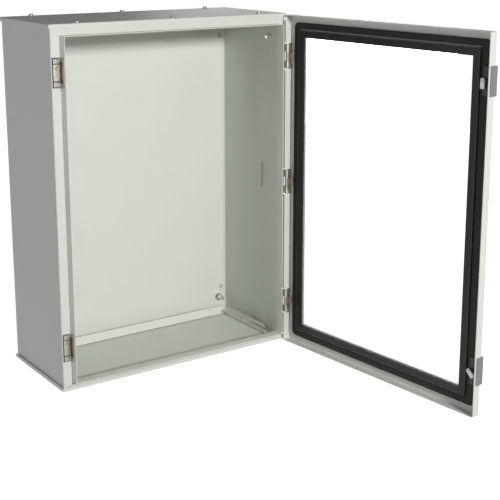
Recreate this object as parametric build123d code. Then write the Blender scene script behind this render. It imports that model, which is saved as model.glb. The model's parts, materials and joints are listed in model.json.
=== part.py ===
"""Steel wall enclosure, 800 x 600 mm, with a glazed door on the right.

Frame: X to the right, +Y to the wall, +Z up. The origin is the centre of the
back face, midway between the four wall holes. Every length is in millimetres.
Door parts are built as they lie when the door is shut and are then swung open
about the hinge axis, because the enclosure is stored with its door open.
"""
import os
from math import cos, radians, sin
from build123d import *

# ---- driving dimensions ------------------------------------------------------
CASE_WIDTH = 600.0            # over the lips of the two covers
CASE_HEIGHT = 800.0           # over both covers
CASE_DEPTH = 258.0            # wall face to the front of the covers' lips

SHEET = 1.5                   # folded steel of body and door
BEND = 1.0                    # inside radius of every fold
CUT_MARGIN = 5.0              # how far cutting tools pass a face

COVER_SHEET = 1.5
COVER_LIP = 9.5               # height of a cover's turned lip, with its sheet
COVER_CLEARANCE = 2.5         # lip to body
COVER_SEAL = 2.0              # compressed seal between cover and body
SEAL_WIDTH = 14.0
SEAL_INSET = 5.0              # seal's outer edge to the body's faces

LOCK_FLANGE_WIDTH = 21.0      # front flange beside the sealing collar, at the locks
HINGE_FLANGE_WIDTH = 16.0     # the same at the hinges
COLLAR_INSET_TOP = 20.5       # body's top to the upper side of the sealing collar
COLLAR_INSET_BOTTOM = 16.5
COLLAR_HEIGHT = 21.5          # collar's reach in front of the flange
SILL_WIDTH = 23.0             # flange that a cover seals on, at the sides
SILL_WIDTH_FRONT = 20.0
SILL_WIDTH_BACK = 25.0
RIM_HEIGHT = 22.0             # turned-up edge of that flange
RIM_START = 20.0              # flange opening's front edge to the rim's rounded front
RIM_END = 6.0                 # rim's rear end to the back rim
RIM_CORNER_X = 12.0           # mitred ends of the back rim
RIM_CORNER_Z = 15.0
RIM_HOLE_R = 2.5              # tie holes near the ends of the back rim
RIM_HOLE_INSET_X = 45.0       # to the side of the opening
RIM_HOLE_DROP = 5.5           # below the rim's edge
SLOT_LENGTH = 84.0            # slots in the side rims, for clips and strain relief
SLOT_HEIGHT = 8.0
SLOT_WEB = 16.0
SLOT_COUNT = 2

COVER_BOLT_INSET_X = 70.0     # outer bolts to the case's side
COVER_BOLT_INSET_FRONT = 14.0  # front row to the covers' lips
COVER_BOLT_INSET_BACK = 12.0  # back row to the wall
BOLT_R = 3.0
BOLT_HEAD_R = 5.0
BOLT_HEAD_H = 3.3
BOLT_SOCKET_R = 2.3
BOLT_SOCKET_DEPTH = 1.8
BOLT_CLEARANCE = 0.4
THREAD_GAP = 0.05             # drawn gap between a thread and its nut
WASHER_R = 7.0
WASHER_H = 1.2
WELD_NUT_R = 5.8
WELD_NUT_H = 5.0

WALL_HOLE_INSET_X = 20.0      # wall holes to the case's side
WALL_HOLE_INSET_Z = 70.0      # wall holes to the case's top or bottom
WALL_HOLE_R = 4.5
PLATE_STUD_INSET_X = 30.0     # studs that carry a mounting plate, to the case's side
PLATE_STUD_INSET_Z = 45.0
PLATE_STUD_R = 4.0
PLATE_STUD_LENGTH = 26.0
PLATE_STUD_BOSS_R = 9.0
PLATE_STUD_BOSS_H = 3.0
PLATE_NUT_R = 7.2
PLATE_NUT_H = 6.5
PLATE_NUT_SEAT = 4.0          # nut to boss face

EARTH_STUD_SETBACK = 62.0     # covers' lips to the earth stud
EARTH_STUD_DROP = 58.0        # case's top to the earth stud
EARTH_STUD_R = 4.0
EARTH_STUD_LENGTH = 11.0
EARTH_NUT_R = 7.2
EARTH_NUT_H = 6.5
EARTH_DOME_R = 6.2            # domed end of the cap nut
EARTH_DOME_H = 6.0
EARTH_WASHER_R = 8.0
EARTH_WASHER_H = 1.6

LANCE_SETBACK = 92.0          # covers' lips to the upright lug in each side wall
LANCE_LENGTH = 60.0
LANCE_WIDTH = 7.0
LANCE_DEPTH = 3.0

DOOR_MARGIN = 2.0             # case's outline to the door's edge
DOOR_DROP = 1.5               # door's centre below the body's centre
DOOR_DEPTH = 20.0             # rim to outer face
DOOR_GAP = 4.0                # cover lips to the shut door's rim
DOOR_OPEN_ANGLE = 95.0        # stored pose, counted from shut
GASKET_INSET = 16.5           # door edge to the gasket
GASKET_INSET_LOCK = 11.0      # the same at the locks
GASKET_INNER_INSET = 31.0     # door edge to the gasket's inner side
GASKET_CLEARANCE = 0.3        # collar tip to the uncompressed gasket
GASKET_CORNER_R = 12.0
GASKET_EDGE_R = 1.2
GASKET_ROOM = 0.5             # gasket to a lock housing

RETAINER_INSET = 35.0         # door edge to the frame that holds the pane
WINDOW_INSET = 50.5           # door edge to the clear opening
WINDOW_RIM = 4.0              # turned edge of the opening, in front of the door
RETAINER_WALL = 1.5
PANE_THICKNESS = 4.0
PANE_SEAL = 1.5
PANE_SEAL_WIDTH = 9.0

HINGE_NAMES = ("lower", "middle", "upper")
HINGE_INSET_Z = 100.0         # outer hinges to the case's top or bottom
HINGE_AXIS_INSET = 4.0        # hinge axis to the case's side
HINGE_AXIS_FORWARD = 9.5      # hinge axis in front of the covers' lips
HINGE_LENGTH = 58.0
HINGE_NOTCH = 62.0            # cut-out in the door's edge
KNUCKLE_R = 4.0
KNUCKLE_GAP = 0.5
KNUCKLE_DOOR_LENGTH = 20.0
PIN_R = 2.0
PIN_RUNNING = 0.05
PIN_HEAD_R = 3.2
PIN_HEAD_H = 1.5
LEAF_SHEET = 2.5
LEAF_WIDTH = 15.0             # body leaf on the flange
DOOR_LEAF_WIDTH = 13.0        # door leaf on the door plate
HINGE_SCREW_R = 2.0
HINGE_SCREW_HEAD_R = 3.6
HINGE_SCREW_HEAD_H = 1.6
HINGE_SCREW_PITCH = 44.0
RIVET_PITCH = 11.0

LOCK_NAMES = ("lower", "upper")
LOCK_INSET_Z = 100.0          # locks to the case's top or bottom
LOCK_REST_ANGLES = (225.0, 180.0)  # cam's turn from nose-up, counted through the latch
LOCK_AXIS_INSET = 12.5        # lock axis to the door's free edge
LOCK_LENGTH = 60.0
LOCK_PROUD = 5.0              # housing in front of the door's face
LOCK_WRAP = 2.0               # housing outside the door's edge
LOCK_INNER_REACH = 17.6       # housing's inner side to the door's edge
LOCK_RIM_STRIP = 4.0          # edge left standing at the rim
LOCK_INSERT_H = 4.0           # black insert at the housing's inner end
LOCK_CHAMFER = 1.5
BARREL_R = 4.2
BARREL_RUNNING = 0.05
BARREL_HEAD_R = 4.9
BARREL_HEAD_H = 2.0
BARREL_HEAD_GAP = 0.3
KEY_SLOT_WIDTH = 2.2
KEY_SLOT_LENGTH = 7.0
KEY_SLOT_DEPTH = 3.5
CAM_NOSE = 14.5
CAM_TAIL = 6.5
CAM_WIDTH = 10.0
CAM_THICKNESS = 3.0
CAM_STANDOFF = 1.0            # door's rim to the cam
CAM_SCREW_R = 1.8
CAM_SCREW_HEAD_R = 3.4
CAM_SCREW_HEAD_H = 1.6

KEEPER_SHEET = 1.5
KEEPER_LENGTH = 62.0
KEEPER_EDGE = 2.0             # keeper to the body's side face
KEEPER_SLOT_LENGTH = 46.0
KEEPER_SLOT_REACH = 8.5       # slot's reach along the collar from the keeper's base
KEEPER_TIP_SETBACK = 1.5      # keeper to the collar's tip
KEEPER_SCREW_PITCH = 48.0
POCKET_DEPTH = 5.5            # box behind a latch slot
POCKET_WALL = 1.2

# ---- places worked out from the driving dimensions ----------------------------
BODY_HALF_W = CASE_WIDTH / 2 - COVER_SHEET - COVER_CLEARANCE
BODY_HALF_H = CASE_HEIGHT / 2 - COVER_SHEET - COVER_SEAL
FLANGE_Y = -(CASE_DEPTH - COVER_SHEET - COVER_CLEARANCE)
COLLAR_LEFT = -BODY_HALF_W + LOCK_FLANGE_WIDTH
COLLAR_RIGHT = BODY_HALF_W - HINGE_FLANGE_WIDTH
COLLAR_TOP = BODY_HALF_H - COLLAR_INSET_TOP
COLLAR_BOTTOM = -BODY_HALF_H + COLLAR_INSET_BOTTOM
COLLAR_TIP_Y = FLANGE_Y - COLLAR_HEIGHT
SILL_HALF_W = BODY_HALF_W - SILL_WIDTH
SILL_FRONT_Y = FLANGE_Y + SILL_WIDTH_FRONT
SILL_BACK_Y = -SILL_WIDTH_BACK
RIM_FRONT_Y = SILL_FRONT_Y + RIM_START
RIM_BACK_Y = SILL_BACK_Y - RIM_END
COVER_BOLT_X = CASE_WIDTH / 2 - COVER_BOLT_INSET_X
COVER_BOLT_ROWS = (-CASE_DEPTH + COVER_BOLT_INSET_FRONT, -COVER_BOLT_INSET_BACK)
COVER_BOLT_COLUMNS = (-COVER_BOLT_X, 0.0, COVER_BOLT_X)
WALL_HOLE_SPACING_X = CASE_WIDTH - 2 * WALL_HOLE_INSET_X
WALL_HOLE_SPACING_Z = CASE_HEIGHT - 2 * WALL_HOLE_INSET_Z
PLATE_STUD_SPACING_X = CASE_WIDTH - 2 * PLATE_STUD_INSET_X
PLATE_STUD_SPACING_Z = CASE_HEIGHT - 2 * PLATE_STUD_INSET_Z
EARTH_STUD_Y = -CASE_DEPTH + EARTH_STUD_SETBACK
EARTH_STUD_Z = CASE_HEIGHT / 2 - EARTH_STUD_DROP
LANCE_Y = -CASE_DEPTH + LANCE_SETBACK
SCREW_HOLE_R = HINGE_SCREW_R + THREAD_GAP

RIM_Y = -CASE_DEPTH - DOOR_GAP
DOOR_FACE_Y = RIM_Y - DOOR_DEPTH
DOOR_INNER_Y = DOOR_FACE_Y + SHEET
DOOR_HALF_W = CASE_WIDTH / 2 - DOOR_MARGIN
DOOR_TOP = CASE_HEIGHT / 2 - DOOR_MARGIN - DOOR_DROP
DOOR_BOTTOM = -CASE_HEIGHT / 2 + DOOR_MARGIN - DOOR_DROP
GASKET_FACE_Y = COLLAR_TIP_Y - GASKET_CLEARANCE
PANE_OUTER_Y = DOOR_INNER_Y + PANE_SEAL
PANE_INNER_Y = PANE_OUTER_Y + PANE_THICKNESS
RETAINER_INNER_Y = PANE_INNER_Y + RETAINER_WALL

HINGE_Z = CASE_HEIGHT / 2 - HINGE_INSET_Z
HINGE_LEVELS = (-HINGE_Z, 0.0, HINGE_Z)
AXIS_X = CASE_WIDTH / 2 - HINGE_AXIS_INSET
AXIS_Y = -CASE_DEPTH - HINGE_AXIS_FORWARD
LOCK_Z = CASE_HEIGHT / 2 - LOCK_INSET_Z
LOCK_LEVELS = (-LOCK_Z, LOCK_Z)
LOCK_X = -DOOR_HALF_W + LOCK_AXIS_INSET
LOCK_INNER_X = -DOOR_HALF_W + LOCK_INNER_REACH
LOCK_END_Y = RIM_Y - LOCK_RIM_STRIP
CAM_FACE_Y = RIM_Y + CAM_STANDOFF
KEEPER_FACE_Y = FLANGE_Y - KEEPER_SHEET


# ---- helpers -------------------------------------------------------------------
def block(x0, x1, y0, y1, z0, z1):
    """Box between two corners."""
    centre = ((x0 + x1) / 2, (y0 + y1) / 2, (z0 + z1) / 2)
    return Pos(*centre) * Box(abs(x1 - x0), abs(y1 - y0), abs(z1 - z0))


def rod_y(x, z, y0, y1, radius):
    """Cylinder along Y."""
    return Pos(x, (y0 + y1) / 2, z) * Rot(90, 0, 0) * Cylinder(radius, abs(y1 - y0))


def rod_z(x, y, z0, z1, radius):
    """Cylinder along Z."""
    return Pos(x, y, (z0 + z1) / 2) * Cylinder(radius, abs(z1 - z0))


def rod_x(y, z, x0, x1, radius):
    """Cylinder along X."""
    return Pos((x0 + x1) / 2, y, z) * Rot(0, 90, 0) * Cylinder(radius, abs(x1 - x0))


def hex_prism(radius, height):
    """Hexagonal prism with a bottom at Z = 0, radius over its corners."""
    return extrude(RegularPolygon(radius, 6), height)


def group(solids):
    """Several separate solids as one node."""
    return Compound(children=list(solids))


def mirrored_x(shape):
    """The same piece on the other side."""
    return mirror(shape, about=Plane.YZ)


def opened(shape):
    """Swing a piece of the shut door to the stored pose."""
    turned = Pos(AXIS_X, AXIS_Y, 0) * Rot(0, 0, DOOR_OPEN_ANGLE) * Pos(-AXIS_X, -AXIS_Y, 0)
    return turned * shape


def ring_xz(outer, inner, y0, y1):
    """Ring from y0 up to y1 between two outlines, each given as (x0, x1, z0, z1)."""
    hole = block(inner[0], inner[1], y0 - CUT_MARGIN, y1 + CUT_MARGIN, inner[2], inner[3])
    return block(outer[0], outer[1], y0, y1, outer[2], outer[3]) - hole


def door_outline(inset):
    """Outline at an inset from the shut door's edges, as (x0, x1, z0, z1)."""
    return (-DOOR_HALF_W + inset, DOOR_HALF_W - inset, DOOR_BOTTOM + inset, DOOR_TOP - inset)


def door_ring(inset0, inset1, y0, y1):
    """Ring on the shut door between two insets from the door's edges."""
    return ring_xz(door_outline(inset0), door_outline(inset1), y0, y1)


# ---- body ------------------------------------------------------------------------
def folded_case():
    """Closed folded box with the front, top and bottom openings cut."""
    depth = -FLANGE_Y
    outer = Box(2 * BODY_HALF_W, depth, 2 * BODY_HALF_H)
    outer = fillet(outer.edges(), BEND + SHEET)
    inner = Box(2 * (BODY_HALF_W - SHEET), depth - 2 * SHEET, 2 * (BODY_HALF_H - SHEET))
    inner = fillet(inner.edges(), BEND)
    case = Pos(0, FLANGE_Y / 2, 0) * (outer - inner)
    x0, x1, z0, z1 = collar_outline(SHEET)
    case -= block(x0, x1, FLANGE_Y - CUT_MARGIN, FLANGE_Y + CUT_MARGIN, z0, z1)
    reach = BODY_HALF_H + CUT_MARGIN
    case -= block(-SILL_HALF_W, SILL_HALF_W, SILL_FRONT_Y, SILL_BACK_Y, -reach, reach)
    return case


def collar_outline(inset):
    """Outline at an inset from the collar's outer side, as (x0, x1, z0, z1)."""
    return (COLLAR_LEFT + inset, COLLAR_RIGHT - inset, COLLAR_BOTTOM + inset, COLLAR_TOP - inset)


def sealing_collar():
    """Lip round the door opening that presses into the door's gasket."""
    return ring_xz(collar_outline(0.0), collar_outline(SHEET), COLLAR_TIP_Y, FLANGE_Y)


def side_rim():
    """Turned-up edge at the right of the bottom opening, slotted, with a round front."""
    length = RIM_BACK_Y - RIM_FRONT_Y
    base = -BODY_HALF_H
    rim = block(SILL_HALF_W, SILL_HALF_W + SHEET, RIM_FRONT_Y, RIM_BACK_Y, base, base + RIM_HEIGHT)
    top_front = rim.edges().filter_by(Axis.X).sort_by(Axis.Y)[:2].sort_by(Axis.Z)[-1]
    rim = fillet(top_front, RIM_HEIGHT - SHEET - BEND)
    span = SLOT_COUNT * SLOT_LENGTH + (SLOT_COUNT - 1) * SLOT_WEB
    first = RIM_FRONT_Y + (length - span) / 2 + SLOT_LENGTH / 2
    slot = extrude(Plane.YZ * SlotOverall(SLOT_LENGTH, SLOT_HEIGHT), SHEET + 2 * CUT_MARGIN, both=True)
    level = base + SHEET + (RIM_HEIGHT - SHEET) / 2
    for index in range(SLOT_COUNT):
        rim -= Pos(SILL_HALF_W, first + index * (SLOT_LENGTH + SLOT_WEB), level) * slot
    return rim


def back_rim():
    """Turned-up edge at the back of the bottom opening, with mitred ends."""
    half = SILL_HALF_W - SHEET
    base = -BODY_HALF_H
    outline = Polyline((-half, base + RIM_HEIGHT), (half, base + RIM_HEIGHT),
                       (half, base + RIM_CORNER_Z), (half - RIM_CORNER_X, base),
                       (-half + RIM_CORNER_X, base), (-half, base + RIM_CORNER_Z), close=True)
    face = Plane.XZ * make_face(outline)
    rim = Pos(0, SILL_BACK_Y + SHEET, 0) * extrude(face, SHEET)
    hole_x = SILL_HALF_W - RIM_HOLE_INSET_X
    hole_z = base + RIM_HEIGHT - RIM_HOLE_DROP
    for x in (-hole_x, hole_x):
        rim -= rod_y(x, hole_z, SILL_BACK_Y - CUT_MARGIN, SILL_BACK_Y + CUT_MARGIN, RIM_HOLE_R)
    return rim


def lance():
    """Upright pressed lug on the inside of the right wall."""
    bump = extrude(Plane.YZ * SlotOverall(LANCE_LENGTH, LANCE_WIDTH, rotation=90), -LANCE_DEPTH)
    bump = chamfer(bump.edges().group_by(Axis.X)[0], LANCE_DEPTH / 2)
    return Pos(BODY_HALF_W - SHEET, LANCE_Y, 0) * bump


def case_holes():
    """Everything that is drilled or punched in the body."""
    tools = []
    for x in (-WALL_HOLE_SPACING_X / 2, WALL_HOLE_SPACING_X / 2):
        for z in (-WALL_HOLE_SPACING_Z / 2, WALL_HOLE_SPACING_Z / 2):
            tools.append(rod_y(x, z, -CUT_MARGIN, CUT_MARGIN, WALL_HOLE_R))
    for x in COVER_BOLT_COLUMNS:
        for y in COVER_BOLT_ROWS:
            for side in (-1, 1):
                z = side * BODY_HALF_H
                tools.append(rod_z(x, y, z - CUT_MARGIN, z + CUT_MARGIN, BOLT_R + BOLT_CLEARANCE))
    for level in HINGE_LEVELS:
        for z in (level - HINGE_SCREW_PITCH / 2, level + HINGE_SCREW_PITCH / 2):
            tools.append(rod_y(hinge_screw_x(), z, FLANGE_Y - CUT_MARGIN, FLANGE_Y + CUT_MARGIN,
                               SCREW_HOLE_R))
    for level in LOCK_LEVELS:
        for z in (level - KEEPER_SCREW_PITCH / 2, level + KEEPER_SCREW_PITCH / 2):
            tools.append(rod_y(keeper_screw_x(), z, FLANGE_Y - CUT_MARGIN, FLANGE_Y + CUT_MARGIN,
                               SCREW_HOLE_R))
        tools.append(keeper_slot(level))
    return tools


def keeper_slot(level):
    """Slot at the collar's root that the cam turns into."""
    half = KEEPER_SLOT_LENGTH / 2
    return block(COLLAR_LEFT - CUT_MARGIN, COLLAR_LEFT + CUT_MARGIN,
                 KEEPER_FACE_Y - KEEPER_SLOT_REACH, KEEPER_FACE_Y, level - half, level + half)


def body_panels():
    """The welded body, split along its folds into plain panels."""
    lower_side = side_rim()
    lower_back = back_rim()
    case = folded_case() + sealing_collar()
    for rim in (lower_side, mirrored_x(lower_side), lower_back):
        case += rim
        case += mirror(rim, about=Plane.XY)
    for tool in case_holes():
        case -= tool
    wall_x = BODY_HALF_W - SHEET
    far_x = BODY_HALF_W + CUT_MARGIN
    far_z = BODY_HALF_H + CUT_MARGIN
    front = COLLAR_TIP_Y - CUT_MARGIN
    flange_back = FLANGE_Y + SHEET + BEND
    middle = (SILL_FRONT_Y + SILL_BACK_Y) / 2
    back = -SHEET - BEND
    side = {
        "wall": block(wall_x, far_x, front, CUT_MARGIN, -far_z, far_z),
        "front_upright": block(SILL_HALF_W, wall_x, front, flange_back, -far_z, far_z),
        "top_sill": block(SILL_HALF_W, wall_x, flange_back, back, 0, far_z),
        "bottom_sill": block(SILL_HALF_W, wall_x, flange_back, back, -far_z, 0),
    }
    regions = {"right_" + name: region for name, region in side.items()}
    regions.update({"left_" + name: mirrored_x(region) for name, region in side.items()})
    regions["back_wall"] = block(-wall_x, wall_x, back, CUT_MARGIN, -far_z, far_z)
    for name, z0, z1 in (("top", 0, far_z), ("bottom", -far_z, 0)):
        regions[f"back_{name}_sill"] = block(-SILL_HALF_W, SILL_HALF_W, middle, back, z0, z1)
        regions[f"front_{name}_rail"] = block(-SILL_HALF_W, SILL_HALF_W, front, middle, z0, z1)
    panels = {name: case & region for name, region in regions.items()}
    panels["right_wall"] += lance()
    panels["left_wall"] += mirrored_x(lance())
    return panels


# ---- covers ----------------------------------------------------------------------
def top_cover():
    """Tray that closes the top opening, lips turned down over the front and sides."""
    reach = 4 * COVER_LIP
    outer = block(-CASE_WIDTH / 2, CASE_WIDTH / 2, -CASE_DEPTH, reach,
                  CASE_HEIGHT / 2 - reach, CASE_HEIGHT / 2)
    outer = fillet(outer.edges(), BEND + COVER_SHEET)
    inner = block(-CASE_WIDTH / 2 + COVER_SHEET, CASE_WIDTH / 2 - COVER_SHEET,
                  -CASE_DEPTH + COVER_SHEET, reach,
                  CASE_HEIGHT / 2 - reach, CASE_HEIGHT / 2 - COVER_SHEET)
    inner = fillet(inner.edges(), BEND)
    kept = block(-CASE_WIDTH, CASE_WIDTH, -2 * CASE_DEPTH, 0,
                 CASE_HEIGHT / 2 - COVER_LIP, CASE_HEIGHT)
    tray = (outer - inner) & kept
    for x in COVER_BOLT_COLUMNS:
        for y in COVER_BOLT_ROWS:
            tray -= rod_z(x, y, CASE_HEIGHT / 2 - 2 * COVER_SHEET, CASE_HEIGHT / 2 + CUT_MARGIN,
                          BOLT_R + BOLT_CLEARANCE)
    return tray


def top_cover_seal():
    """Flat seal between the body and the top cover."""
    half = BODY_HALF_W - SEAL_INSET
    y0 = FLANGE_Y + SEAL_INSET
    y1 = -SEAL_INSET
    seal = block(-half, half, y0, y1, BODY_HALF_H, BODY_HALF_H + COVER_SEAL)
    seal -= block(-half + SEAL_WIDTH, half - SEAL_WIDTH, y0 + SEAL_WIDTH, y1 - SEAL_WIDTH,
                  BODY_HALF_H - CUT_MARGIN, BODY_HALF_H + CUT_MARGIN)
    for x in COVER_BOLT_COLUMNS:
        for y in COVER_BOLT_ROWS:
            seal -= rod_z(x, y, BODY_HALF_H - CUT_MARGIN, BODY_HALF_H + CUT_MARGIN,
                          BOLT_R + BOLT_CLEARANCE)
    return seal


def cover_bolt():
    """Button-head bolt, its head's underside at Z = 0 and its shank downwards."""
    shank_length = WASHER_H + COVER_SHEET + COVER_SEAL + SHEET + WELD_NUT_H + BOLT_R
    head = Pos(0, 0, BOLT_HEAD_H / 2) * Cylinder(BOLT_HEAD_R, BOLT_HEAD_H)
    head = fillet(head.edges().group_by(Axis.Z)[-1], BOLT_HEAD_H / 2)
    socket = Pos(0, 0, BOLT_HEAD_H - BOLT_SOCKET_DEPTH) * hex_prism(BOLT_SOCKET_R, BOLT_HEAD_H)
    return head - socket + Pos(0, 0, -shank_length / 2) * Cylinder(BOLT_R, shank_length)


def cover_fixings():
    """Bolts, washers and weld nuts of the top cover."""
    bolt = cover_bolt()
    washer = Cylinder(WASHER_R, WASHER_H) - Cylinder(BOLT_R + BOLT_CLEARANCE, 2 * WASHER_H)
    nut = hex_prism(WELD_NUT_R, WELD_NUT_H) - Cylinder(BOLT_R + THREAD_GAP, 4 * WELD_NUT_H)
    places = [(x, y) for x in COVER_BOLT_COLUMNS for y in COVER_BOLT_ROWS]
    top = CASE_HEIGHT / 2
    under = BODY_HALF_H - SHEET
    return {
        "cover_bolts": group(Pos(x, y, top + WASHER_H) * bolt for x, y in places),
        "cover_washers": group(Pos(x, y, top + WASHER_H / 2) * washer for x, y in places),
        "cover_weld_nuts": group(Pos(x, y, under - WELD_NUT_H) * nut for x, y in places),
    }


# ---- studs inside the body ----------------------------------------------------------
def plate_stud_places():
    """Corners of the mounting plate's stud pattern."""
    return [(x, z) for x in (-PLATE_STUD_SPACING_X / 2, PLATE_STUD_SPACING_X / 2)
            for z in (-PLATE_STUD_SPACING_Z / 2, PLATE_STUD_SPACING_Z / 2)]


def plate_stud(x, z):
    """Welded stud with its boss, standing on the inside of the back panel."""
    wall = -SHEET
    boss = rod_y(x, z, wall, wall - PLATE_STUD_BOSS_H, PLATE_STUD_BOSS_R)
    nut_face = plate_nut_seat() - PLATE_NUT_H
    root = rod_y(x, z, wall, nut_face, PLATE_STUD_R - THREAD_GAP)
    end = rod_y(x, z, nut_face, wall - PLATE_STUD_LENGTH, PLATE_STUD_R)
    return boss + root + chamfer(end.edges().group_by(Axis.Y)[0], PLATE_STUD_R / 5)


def plate_nut_seat():
    """Face that a mounting plate's nut is turned down to."""
    return -SHEET - PLATE_STUD_BOSS_H - PLATE_NUT_SEAT


def plate_nut(x, z):
    """Hexagon nut spun onto a mounting stud."""
    nut = Rot(90, 0, 0) * hex_prism(PLATE_NUT_R, PLATE_NUT_H)
    nut = Pos(x, plate_nut_seat(), z) * nut
    return nut - rod_y(x, z, 0, plate_nut_seat() - 2 * PLATE_NUT_H, PLATE_STUD_R)


def earth_parts():
    """Earth stud on the right wall with its washer and its domed cap nut."""
    wall = BODY_HALF_W - SHEET
    seat = wall - EARTH_WASHER_H
    dome_end = seat - EARTH_NUT_H - EARTH_DOME_H
    place = (EARTH_STUD_Y, EARTH_STUD_Z)
    stud = rod_x(*place, wall - EARTH_STUD_LENGTH, wall, EARTH_STUD_R - THREAD_GAP)
    bore = rod_x(*place, wall - EARTH_STUD_LENGTH, wall, EARTH_STUD_R)
    washer = rod_x(*place, seat, wall, EARTH_WASHER_R)
    dome = rod_x(*place, dome_end, seat, EARTH_DOME_R)
    dome = fillet(dome.edges().group_by(Axis.X)[0], EARTH_DOME_H - THREAD_GAP)
    nut = Pos(seat, *place) * Rot(0, -90, 0) * hex_prism(EARTH_NUT_R, EARTH_NUT_H)
    return {"earth_stud": stud, "earth_washer": washer - bore, "earth_nut": nut + dome - bore}


# ---- door ------------------------------------------------------------------------
def door_frame():
    """Folded door pan with the window, the hinge notches and the lock cut-outs."""
    pan = door_slab(0.0, DOOR_FACE_Y, RIM_Y, BEND + SHEET)
    pan -= door_slab(SHEET, DOOR_INNER_Y, RIM_Y + CUT_MARGIN, BEND)
    x0, x1, z0, z1 = door_outline(WINDOW_INSET)
    pan -= block(x0, x1, DOOR_FACE_Y - CUT_MARGIN, RIM_Y, z0, z1)
    pan += door_ring(WINDOW_INSET - SHEET, WINDOW_INSET, DOOR_FACE_Y - WINDOW_RIM, DOOR_FACE_Y)
    for level in HINGE_LEVELS:
        pan -= block(DOOR_HALF_W - SHEET - BEND, DOOR_HALF_W + CUT_MARGIN, DOOR_INNER_Y,
                     RIM_Y + CUT_MARGIN, level - HINGE_NOTCH / 2, level + HINGE_NOTCH / 2)
        for z in door_rivet_levels(level):
            pan -= rod_y(door_rivet_x(), z, DOOR_FACE_Y - CUT_MARGIN, RIM_Y, SCREW_HOLE_R)
    for level in LOCK_LEVELS:
        pan -= block(-DOOR_HALF_W - CUT_MARGIN, LOCK_INNER_X, DOOR_FACE_Y - CUT_MARGIN, LOCK_END_Y,
                     level - LOCK_LENGTH / 2, level + LOCK_LENGTH / 2)
    return pan


def door_slab(inset, y0, y1, radius):
    """Solid slab inside the shut door's edges, rounded at its sides and at its outer face."""
    x0, x1, z0, z1 = door_outline(inset)
    slab = block(x0, x1, y0, y1, z0, z1)
    return fillet(slab.edges().filter_by(Axis.Y) + slab.edges().group_by(Axis.Y)[0], radius)


def door_gasket():
    """Foam bead that the body's collar presses into, notched at the locks."""
    _, x1, z0, z1 = door_outline(GASKET_INSET)
    bead = block(-DOOR_HALF_W + GASKET_INSET_LOCK, x1, DOOR_INNER_Y, GASKET_FACE_Y, z0, z1)
    bead = fillet(bead.edges().filter_by(Axis.Y), GASKET_CORNER_R)
    x0, x1, z0, z1 = door_outline(GASKET_INNER_INSET)
    bead -= block(x0, x1, DOOR_FACE_Y, RIM_Y, z0, z1)
    bead = fillet(bead.edges().group_by(Axis.Y)[-1], GASKET_EDGE_R)
    half = LOCK_LENGTH / 2 + GASKET_ROOM
    for level in LOCK_LEVELS:
        bead -= block(-DOOR_HALF_W, LOCK_INNER_X + GASKET_ROOM, DOOR_FACE_Y, RIM_Y,
                      level - half, level + half)
    return bead


def window_parts():
    """Pane, its seal to the door plate and the frame that clamps it."""
    pane_inset = RETAINER_INSET + RETAINER_WALL
    x0, x1, z0, z1 = door_outline(pane_inset)
    pane = block(x0, x1, PANE_OUTER_Y, PANE_INNER_Y, z0, z1)
    seal = door_ring(WINDOW_INSET - PANE_SEAL_WIDTH, WINDOW_INSET, DOOR_INNER_Y, PANE_OUTER_Y)
    retainer = door_ring(RETAINER_INSET, WINDOW_INSET, DOOR_INNER_Y, RETAINER_INNER_Y)
    retainer -= door_ring(pane_inset, WINDOW_INSET + CUT_MARGIN, DOOR_INNER_Y - CUT_MARGIN,
                          PANE_INNER_Y)
    return {"window_pane": pane, "window_seal": seal, "window_retainer": retainer}


# ---- hinges ----------------------------------------------------------------------
def hinge_screw_x():
    """Screw line of the body leaves."""
    return AXIS_X - KNUCKLE_R - LEAF_WIDTH / 2 + HINGE_SCREW_HEAD_R / 2


def door_rivet_x():
    """Rivet line of the door leaves."""
    return AXIS_X - KNUCKLE_R - DOOR_LEAF_WIDTH / 2 + HINGE_SCREW_HEAD_R / 2


def door_rivet_levels(level):
    """Two rivets in each door leaf."""
    return (level - RIVET_PITCH / 2, level + RIVET_PITCH / 2)


def body_leaf(level):
    """Leaf on the body's flange with a knuckle at each end."""
    half = HINGE_LENGTH / 2
    inner = KNUCKLE_DOOR_LENGTH / 2 + KNUCKLE_GAP
    plate = block(AXIS_X - LEAF_WIDTH, AXIS_X + LEAF_SHEET / 2, FLANGE_Y - LEAF_SHEET, FLANGE_Y,
                  -half, half)
    leaf = fillet(plate.edges().filter_by(Axis.Y).group_by(Axis.X)[0], 2 * BEND)
    for side in (-1, 1):
        z0, z1 = sorted((side * inner, side * half))
        leaf += block(AXIS_X - LEAF_SHEET / 2, AXIS_X + LEAF_SHEET / 2, AXIS_Y, FLANGE_Y, z0, z1)
        leaf += rod_z(AXIS_X, AXIS_Y, z0, z1, KNUCKLE_R)
    leaf -= rod_z(AXIS_X, AXIS_Y, -HINGE_LENGTH, HINGE_LENGTH, PIN_R)
    for z in (-HINGE_SCREW_PITCH / 2, HINGE_SCREW_PITCH / 2):
        leaf -= rod_y(hinge_screw_x(), z, FLANGE_Y - CUT_MARGIN, FLANGE_Y, SCREW_HOLE_R)
    return Pos(0, 0, level) * leaf


def hinge_screws(level):
    """Screws that hold a body leaf to the flange."""
    screws = []
    for z in (level - HINGE_SCREW_PITCH / 2, level + HINGE_SCREW_PITCH / 2):
        screws.append(pan_screw(hinge_screw_x(), z, FLANGE_Y - LEAF_SHEET,
                                LEAF_SHEET + 2 * SHEET))
    return screws


def pan_screw(x, z, seat_y, shank_length):
    """Domed screw or rivet along Y, its head in front of the seat."""
    head = rod_y(x, z, seat_y - HINGE_SCREW_HEAD_H, seat_y, HINGE_SCREW_HEAD_R)
    head = fillet(head.edges().group_by(Axis.Y)[0], HINGE_SCREW_HEAD_H / 2)
    return head + rod_y(x, z, seat_y, seat_y + shank_length, HINGE_SCREW_R)


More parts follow.
